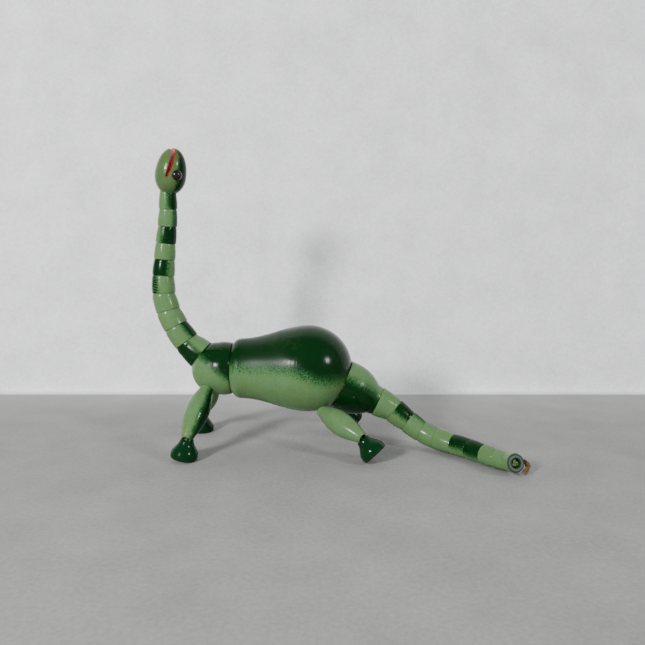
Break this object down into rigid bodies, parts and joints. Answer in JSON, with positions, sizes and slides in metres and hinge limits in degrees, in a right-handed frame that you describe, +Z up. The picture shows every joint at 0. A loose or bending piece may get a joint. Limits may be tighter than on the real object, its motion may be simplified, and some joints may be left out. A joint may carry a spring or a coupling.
{
  "type": "strung wooden dinosaur",
  "caption": "Long-necked toy dinosaur of turned, enamelled wooden beads strung on a cord, with ball and socket seats, an egg-shaped head with a sawn mouth, and bell-shaped feet on spindle legs.",
  "frame": {"origin": "middle of the bounding box, at floor height", "axes": "+X towards the tail, -Y towards the toy's left side, +Z up"},
  "size_m": [0.2419, 0.1283, 0.2058],
  "materials": {
    "light_enamel": "light green gloss enamel, sprayed dark green in patches",
    "dark_enamel": "light green gloss enamel, sprayed dark green on top",
    "foot_enamel": "dark green gloss enamel",
    "bare_wood": "bare",
    "eye": "dark brown gloss",
    "cord": "twisted brown cord"
  },
  "bodies": {
    "torso": {"torso": "dark_enamel", "spine_cord": "cord", "rear_leg_cord": "cord"},
    "chest": {"chest": "dark_enamel", "front_leg_cord": "cord"},
    "neck_bead_01": {"neck_bead_01": "light_enamel"},
    "neck_bead_02": {"neck_bead_02": "light_enamel"},
    "neck_bead_03": {"neck_bead_03": "light_enamel"},
    "neck_bead_04": {"neck_bead_04": "light_enamel"},
    "neck_bead_05": {"neck_bead_05": "light_enamel"},
    "neck_bead_06": {"neck_bead_06": "light_enamel"},
    "neck_bead_07": {"neck_bead_07": "light_enamel"},
    "neck_bead_08": {"neck_bead_08": "light_enamel"},
    "neck_bead_09": {"neck_bead_09": "light_enamel"},
    "neck_bead_10": {"neck_bead_10": "light_enamel"},
    "head": {"head": "light_enamel", "head_plug": "bare_wood", "left_eye": "eye", "right_eye": "eye"},
    "tail_bead_01": {"tail_bead_01": "light_enamel"},
    "tail_bead_02": {"tail_bead_02": "light_enamel"},
    "tail_bead_03": {"tail_bead_03": "light_enamel"},
    "tail_bead_04": {"tail_bead_04": "light_enamel"},
    "tail_bead_05": {"tail_bead_05": "light_enamel"},
    "tail_bead_06": {"tail_bead_06": "light_enamel"},
    "tail_bead_07": {"tail_bead_07": "light_enamel"},
    "tail_bead_08": {"tail_bead_08": "light_enamel"},
    "tail_bead_09": {"tail_bead_09": "light_enamel"},
    "tail_bead_10": {"tail_bead_10": "light_enamel"},
    "tail_bead_11": {"tail_bead_11": "light_enamel", "frayed_end": "cord"},
    "front_left_leg": {"front_left_leg": "light_enamel"},
    "front_left_foot": {"front_left_foot": "foot_enamel"},
    "rear_left_leg": {"rear_left_leg": "light_enamel"},
    "rear_left_foot": {"rear_left_foot": "foot_enamel"},
    "front_right_leg": {"front_right_leg": "light_enamel"},
    "front_right_foot": {"front_right_foot": "foot_enamel"},
    "rear_right_leg": {"rear_right_leg": "light_enamel"},
    "rear_right_foot": {"rear_right_foot": "foot_enamel"}
  },
  "joints": [
    {"name": "chest_nod", "type": "hinge", "parent": "torso", "child": "chest", "pos_m": [-0.0385, 0.00542, 0.0549], "axis": [0, 1, 0], "range_deg": [-6, 6], "deforming": ["spine_cord"]},
    {"name": "neck_01_nod", "type": "hinge", "parent": "chest", "child": "neck_bead_01", "pos_m": [-0.07593, 0.00542, 0.0549], "axis": [0, 1, 0], "range_deg": [-10, 10], "deforming": ["spine_cord"]},
    {"name": "neck_02_sway", "type": "hinge", "parent": "neck_bead_01", "child": "neck_bead_02", "pos_m": [-0.09568, 0.00542, 0.07118], "axis": [-0.7284, 0, -0.6852], "range_deg": [-7, 7], "deforming": ["spine_cord"]},
    {"name": "neck_03_nod", "type": "hinge", "parent": "neck_bead_02", "child": "neck_bead_03", "pos_m": [-0.1035, 0.00542, 0.08194], "axis": [0, 1, 0], "range_deg": [-14, 7], "deforming": ["spine_cord"]},
    {"name": "neck_04_sway", "type": "hinge", "parent": "neck_bead_03", "child": "neck_bead_04", "pos_m": [-0.10927, 0.00542, 0.09303], "axis": [-0.9272, 0, -0.3746], "range_deg": [-10, 10], "deforming": ["spine_cord"]},
    {"name": "neck_05_sway", "type": "hinge", "parent": "neck_bead_04", "child": "neck_bead_05", "pos_m": [-0.11288, 0.00542, 0.10521], "axis": [-0.987, 0, -0.1607], "range_deg": [-7, 7], "deforming": ["spine_cord"]},
    {"name": "neck_06_nod", "type": "hinge", "parent": "neck_bead_05", "child": "neck_bead_06", "pos_m": [-0.11331, 0.00542, 0.1176], "axis": [0, 1, 0], "range_deg": [-14, 8], "deforming": ["spine_cord"]},
    {"name": "neck_07_sway", "type": "hinge", "parent": "neck_bead_06", "child": "neck_bead_07", "pos_m": [-0.11212, 0.00522, 0.12894], "axis": [-0.9945, 0, 0.1045], "range_deg": [-12, 12], "deforming": ["spine_cord"]},
    {"name": "neck_08_nod", "type": "hinge", "parent": "neck_bead_07", "child": "neck_bead_08", "pos_m": [-0.11092, 0.00462, 0.14036], "axis": [0, 1, 0], "range_deg": [-12, 12], "deforming": ["spine_cord"]},
    {"name": "neck_09_sway", "type": "hinge", "parent": "neck_bead_08", "child": "neck_bead_09", "pos_m": [-0.10918, 0.00359, 0.15198], "axis": [-0.9914, 0, 0.1306], "range_deg": [-12, 12], "deforming": ["spine_cord"]},
    {"name": "neck_10_nod", "type": "hinge", "parent": "neck_bead_09", "child": "neck_bead_10", "pos_m": [-0.10785, 0.00214, 0.16372], "axis": [0, 1, 0], "range_deg": [-12, 12], "deforming": ["spine_cord"]},
    {"name": "head_turn", "type": "hinge", "parent": "neck_bead_10", "child": "head", "pos_m": [-0.10725, 0.00054, 0.17509], "axis": [0.2037, -0.1564, 0.9665], "range_deg": [-60, 60], "deforming": ["spine_cord"]},
    {"name": "tail_01_lift", "type": "hinge", "parent": "torso", "child": "tail_bead_01", "pos_m": [-0.01133, 0.00542, 0.0549], "axis": [0, -1, 0], "range_deg": [-3, 10], "deforming": ["spine_cord"]},
    {"name": "tail_02_sway", "type": "hinge", "parent": "tail_bead_01", "child": "tail_bead_02", "pos_m": [0.03388, 0.00542, 0.03285], "axis": [0.4303, -0.0302, 0.9022], "range_deg": [-7, 12], "deforming": ["spine_cord"]},
    {"name": "tail_03_lift", "type": "hinge", "parent": "tail_bead_02", "child": "tail_bead_03", "pos_m": [0.04644, 0.00365, 0.02693], "axis": [-0.2123, -0.9772, 0], "range_deg": [-3, 12], "deforming": ["spine_cord"]},
    {"name": "tail_04_sway", "type": "hinge", "parent": "tail_bead_03", "child": "tail_bead_04", "pos_m": [0.05664, 0.00053, 0.01933], "axis": [0.5211, -0.2061, 0.8282], "range_deg": [-7, 12], "deforming": ["spine_cord"]},
    {"name": "tail_05_sway", "type": "hinge", "parent": "tail_bead_04", "child": "tail_bead_05", "pos_m": [0.06566, -0.00386, 0.01293], "axis": [0.3885, -0.2121, 0.8967], "range_deg": [-5, 10], "deforming": ["spine_cord"]},
    {"name": "tail_06_lift", "type": "hinge", "parent": "tail_bead_05", "child": "tail_bead_06", "pos_m": [0.07444, -0.00914, 0.0092], "axis": [-0.5603, -0.8283, 0], "range_deg": [-12, 4], "deforming": ["spine_cord"]},
    {"name": "tail_07_sway", "type": "hinge", "parent": "tail_bead_06", "child": "tail_bead_07", "pos_m": [0.08503, -0.01711, 0.0072], "axis": [0.0657, -0.0582, 0.9961], "range_deg": [-5, 12], "deforming": ["spine_cord"]},
    {"name": "tail_08_lift", "type": "hinge", "parent": "tail_bead_07", "child": "tail_bead_08", "pos_m": [0.09336, -0.02574, 0.0069], "axis": [-0.7604, -0.6495, 0], "range_deg": [-12, 12], "deforming": ["spine_cord"]},
    {"name": "tail_09_sway", "type": "hinge", "parent": "tail_bead_08", "child": "tail_bead_09", "pos_m": [0.10058, -0.03532, 0.0065], "axis": [0.019, -0.0261, 0.9995], "range_deg": [-12, 12], "deforming": ["spine_cord"]},
    {"name": "tail_10_lift", "type": "hinge", "parent": "tail_bead_09", "child": "tail_bead_10", "pos_m": [0.10608, -0.04318, 0.0062], "axis": [-0.8039, -0.5948, 0], "range_deg": [-12, 12], "deforming": ["spine_cord"]},
    {"name": "tail_11_sway", "type": "hinge", "parent": "tail_bead_10", "child": "tail_bead_11", "pos_m": [0.11174, -0.05043, 0.0059], "axis": [-0.0454, 0.0987, 0.9941], "range_deg": [-7, 19], "deforming": ["spine_cord", "frayed_end"]},
    {"name": "front_left_hip", "type": "hinge", "parent": "chest", "child": "front_left_leg", "pos_m": [-0.08228, -0.00811, 0.04161], "axis": [0, 1, 0], "range_deg": [-20, 20], "deforming": ["front_leg_cord"]},
    {"name": "front_left_ankle", "type": "hinge", "parent": "front_left_leg", "child": "front_left_foot", "pos_m": [-0.08936, -0.03126, 0.01745], "axis": [-0.9749, 0.0819, 0.2072], "range_deg": [-5, 30], "deforming": ["front_leg_cord"]},
    {"name": "rear_left_hip", "type": "hinge", "parent": "torso", "child": "rear_left_leg", "pos_m": [-0.00104, -0.00945, 0.02694], "axis": [0, 1, 0], "range_deg": [-8, 35], "deforming": ["rear_leg_cord"]},
    {"name": "rear_left_ankle", "type": "hinge", "parent": "rear_left_leg", "child": "rear_left_foot", "pos_m": [0.02173, -0.03303, 0.01718], "axis": [-0.7151, -0.4805, -0.5076], "range_deg": [-6, 25], "deforming": ["rear_leg_cord"]},
    {"name": "front_right_hip", "type": "hinge", "parent": "chest", "child": "front_right_leg", "pos_m": [-0.08228, 0.01895, 0.04161], "axis": [0, 1, 0], "range_deg": [-20, 20], "deforming": ["front_leg_cord"]},
    {"name": "front_right_ankle", "type": "hinge", "parent": "front_right_leg", "child": "front_right_foot", "pos_m": [-0.09508, 0.03793, 0.0162], "axis": [0.829, 0.5592, 0], "range_deg": [-5, 30], "deforming": ["front_leg_cord"]},
    {"name": "rear_right_hip", "type": "hinge", "parent": "torso", "child": "rear_right_leg", "pos_m": [-0.00104, 0.02029, 0.02694], "axis": [0, 1, 0], "range_deg": [-8, 35], "deforming": ["rear_leg_cord"]},
    {"name": "rear_right_ankle", "type": "hinge", "parent": "rear_right_leg", "child": "rear_right_foot", "pos_m": [0.01584, 0.04838, 0.01718], "axis": [0.8677, -0.4871, 0.0987], "range_deg": [-6, 25], "deforming": ["rear_leg_cord"]}
  ]
}
